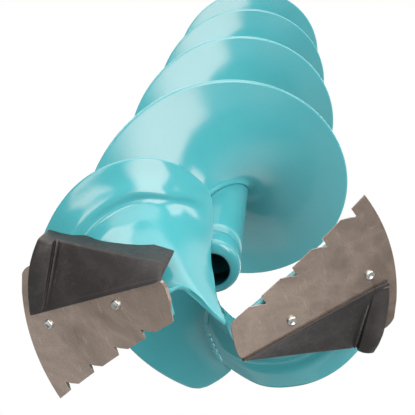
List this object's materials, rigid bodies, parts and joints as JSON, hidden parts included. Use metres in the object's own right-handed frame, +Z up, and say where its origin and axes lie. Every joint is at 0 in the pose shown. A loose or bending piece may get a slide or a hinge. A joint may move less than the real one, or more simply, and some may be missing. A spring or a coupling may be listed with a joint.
{
  "type": "ice fishing auger",
  "caption": "Hand-turned ice auger: a helical flight on a tubular shaft, a dished head with serrated blades, and a folding crank with a turning grip and top knob.",
  "frame": {"origin": "on the shaft axis, level with the inner leading corners of the blades, which are the lowest points", "axes": "+Z up the shaft; +X towards blade A; +Y towards the crank's grip in the working position"},
  "size_m": [0.155, 0.2351, 1.2092],
  "materials": {
    "paint": "glossy powder coat",
    "blade_steel": "satin",
    "shoe_plastic": "rough moulded",
    "zinc": "zinc plated",
    "bush_plastic": "satin",
    "grip_plastic": "moulded, lightly grained"
  },
  "bodies": {
    "auger": {"shaft_tube": "paint", "shaft_end_ring": "paint", "screw_flight": "paint", "head_leaf_a": "paint", "head_leaf_b": "paint", "blade_a": "blade_steel", "blade_b": "blade_steel", "blade_shoe_a": "shoe_plastic", "blade_shoe_b": "shoe_plastic", "blade_screws": "zinc", "blade_screw_washers": "zinc", "fold_yoke": "paint", "fold_bolt": "zinc"},
    "clamp_washer": {"clamp_washer": "zinc"},
    "wing_nut": {"wing_nut": "zinc"},
    "crank": {"crank_lug": "paint", "crank_tube": "paint", "grip_collars": "zinc", "knob_spindle": "zinc", "knob_washer": "zinc", "knob_screw": "zinc"},
    "grip": {"crank_grip": "grip_plastic", "grip_bushes": "bush_plastic"},
    "knob": {"top_knob": "grip_plastic", "knob_cap": "grip_plastic"}
  },
  "joints": [
    {"name": "crank_fold", "type": "hinge", "parent": "auger", "child": "crank", "pos_m": [0, 0, 0.8], "axis": [0, 1, 0], "range_deg": [0, 140]},
    {"name": "washer_travel", "type": "slide", "parent": "auger", "child": "clamp_washer", "axis": [0, 1, 0], "range_m": [0, 0.00375]},
    {"name": "wing_nut_turn", "type": "hinge", "parent": "clamp_washer", "child": "wing_nut", "pos_m": [0, 0.014, 0.8], "axis": [0, 1, 0], "range_deg": [0, 1080]},
    {"name": "grip_spin", "type": "hinge", "parent": "crank", "child": "grip", "pos_m": [0, 0.15, 1], "axis": [0, 0, 1], "continuous": true},
    {"name": "knob_spin", "type": "hinge", "parent": "crank", "child": "knob", "pos_m": [0, 0, 1.18], "axis": [0, 0, 1], "continuous": true}
  ],
  "couplings": [
    {"joint": "wing_nut_turn", "follows": "washer_travel", "rad_per_m": 5026.5}
  ]
}
